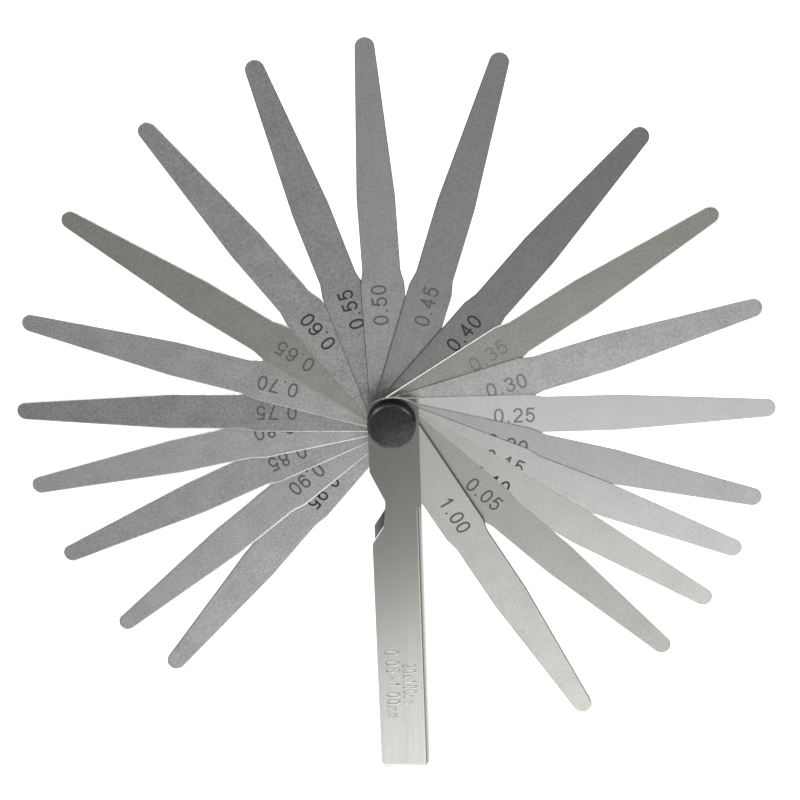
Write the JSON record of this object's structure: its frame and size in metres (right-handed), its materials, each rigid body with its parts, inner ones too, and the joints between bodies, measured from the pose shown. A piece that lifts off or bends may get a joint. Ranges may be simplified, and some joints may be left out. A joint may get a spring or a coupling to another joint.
{
  "type": "feeler gauge",
  "caption": "Folding feeler gauge: tapered steel leaves fanned round a post in a folded sheet holder, clamped by a knurled thumb screw.",
  "frame": {"origin": "on the pivot axis, at the underside of the pivot post's flange, which the gauge rests on", "axes": "+Z along the pivot axis, out of the front cheek; the holder runs along -Y; the open side is -X"},
  "size_m": [0.19, 0.1924, 0.0171],
  "materials": {
    "leaf_steel": "matt, frosted",
    "holder_plate": "brushed, bright plated",
    "post_steel": "turned",
    "washer_steel": "plain",
    "screw_black": "blackened, satin, knurled"
  },
  "bodies": {
    "holder": {"holder": "holder_plate", "pivot_post": "post_steel"},
    "washer": {"washer": "washer_steel"},
    "thumb_screw": {"thumb_screw": "screw_black"},
    "blade_0_95": {"blade_0_95": "leaf_steel"},
    "blade_0_90": {"blade_0_90": "leaf_steel"},
    "blade_0_85": {"blade_0_85": "leaf_steel"},
    "blade_0_80": {"blade_0_80": "leaf_steel"},
    "blade_0_75": {"blade_0_75": "leaf_steel"},
    "blade_0_70": {"blade_0_70": "leaf_steel"},
    "blade_0_65": {"blade_0_65": "leaf_steel"},
    "blade_0_60": {"blade_0_60": "leaf_steel"},
    "blade_0_55": {"blade_0_55": "leaf_steel"},
    "blade_0_50": {"blade_0_50": "leaf_steel"},
    "blade_0_45": {"blade_0_45": "leaf_steel"},
    "blade_0_40": {"blade_0_40": "leaf_steel"},
    "blade_0_35": {"blade_0_35": "leaf_steel"},
    "blade_0_30": {"blade_0_30": "leaf_steel"},
    "blade_0_25": {"blade_0_25": "leaf_steel"},
    "blade_0_20": {"blade_0_20": "leaf_steel"},
    "blade_0_15": {"blade_0_15": "leaf_steel"},
    "blade_0_10": {"blade_0_10": "leaf_steel"},
    "blade_0_05": {"blade_0_05": "leaf_steel"},
    "blade_1_00": {"blade_1_00": "leaf_steel"}
  },
  "joints": [
    {"name": "swing_0_95", "type": "hinge", "parent": "holder", "child": "blade_0_95", "pos_m": [0, 0, 0], "axis": [0, 0, 1], "range_deg": [-289.5, 40.5]},
    {"name": "swing_0_90", "type": "hinge", "parent": "holder", "child": "blade_0_90", "pos_m": [0, 0, 0], "axis": [0, 0, 1], "range_deg": [-279, 51]},
    {"name": "swing_0_85", "type": "hinge", "parent": "holder", "child": "blade_0_85", "pos_m": [0, 0, 0], "axis": [0, 0, 1], "range_deg": [-264, 66]},
    {"name": "swing_0_80", "type": "hinge", "parent": "holder", "child": "blade_0_80", "pos_m": [0, 0, 0], "axis": [0, 0, 1], "range_deg": [-251.25, 78.75]},
    {"name": "swing_0_75", "type": "hinge", "parent": "holder", "child": "blade_0_75", "pos_m": [0, 0, 0], "axis": [0, 0, 1], "range_deg": [-238.5, 91.5]},
    {"name": "swing_0_70", "type": "hinge", "parent": "holder", "child": "blade_0_70", "pos_m": [0, 0, 0], "axis": [0, 0, 1], "range_deg": [-223.75, 106.25]},
    {"name": "swing_0_65", "type": "hinge", "parent": "holder", "child": "blade_0_65", "pos_m": [0, 0, 0], "axis": [0, 0, 1], "range_deg": [-205.75, 124.25]},
    {"name": "swing_0_60", "type": "hinge", "parent": "holder", "child": "blade_0_60", "pos_m": [0, 0, 0], "axis": [0, 0, 1], "range_deg": [-187.25, 142.75]},
    {"name": "swing_0_55", "type": "hinge", "parent": "holder", "child": "blade_0_55", "pos_m": [0, 0, 0], "axis": [0, 0, 1], "range_deg": [-168.5, 161.5]},
    {"name": "swing_0_50", "type": "hinge", "parent": "holder", "child": "blade_0_50", "pos_m": [0, 0, 0], "axis": [0, 0, 1], "range_deg": [-152, 178]},
    {"name": "swing_0_45", "type": "hinge", "parent": "holder", "child": "blade_0_45", "pos_m": [0, 0, 0], "axis": [0, 0, 1], "range_deg": [-132.25, 197.75]},
    {"name": "swing_0_40", "type": "hinge", "parent": "holder", "child": "blade_0_40", "pos_m": [0, 0, 0], "axis": [0, 0, 1], "range_deg": [-108.75, 221.25]},
    {"name": "swing_0_35", "type": "hinge", "parent": "holder", "child": "blade_0_35", "pos_m": [0, 0, 0], "axis": [0, 0, 1], "range_deg": [-92.75, 237.25]},
    {"name": "swing_0_30", "type": "hinge", "parent": "holder", "child": "blade_0_30", "pos_m": [0, 0, 0], "axis": [0, 0, 1], "range_deg": [-76.75, 253.25]},
    {"name": "swing_0_25", "type": "hinge", "parent": "holder", "child": "blade_0_25", "pos_m": [0, 0, 0], "axis": [0, 0, 1], "range_deg": [-60.5, 269.5]},
    {"name": "swing_0_20", "type": "hinge", "parent": "holder", "child": "blade_0_20", "pos_m": [0, 0, 0], "axis": [0, 0, 1], "range_deg": [-45.75, 284.25]},
    {"name": "swing_0_15", "type": "hinge", "parent": "holder", "child": "blade_0_15", "pos_m": [0, 0, 0], "axis": [0, 0, 1], "range_deg": [-36.75, 293.25]},
    {"name": "swing_0_10", "type": "hinge", "parent": "holder", "child": "blade_0_10", "pos_m": [0, 0, 0], "axis": [0, 0, 1], "range_deg": [-27.25, 302.75]},
    {"name": "swing_0_05", "type": "hinge", "parent": "holder", "child": "blade_0_05", "pos_m": [0, 0, 0], "axis": [0, 0, 1], "range_deg": [-16.75, 313.25]},
    {"name": "swing_1_00", "type": "hinge", "parent": "holder", "child": "blade_1_00", "pos_m": [0, 0, 0], "axis": [0, 0, 1], "range_deg": [-0.5, 329.5]},
    {"name": "washer_lift", "type": "slide", "parent": "holder", "child": "washer", "axis": [0, 0, 1], "range_m": [0, 0.0007]},
    {"name": "screw_turn", "type": "hinge", "parent": "washer", "child": "thumb_screw", "pos_m": [0, 0, 0], "axis": [0, 0, 1], "range_deg": [0, 360]}
  ],
  "couplings": [
    {"joint": "screw_turn", "follows": "washer_lift", "rad_per_m": 8975.9}
  ]
}
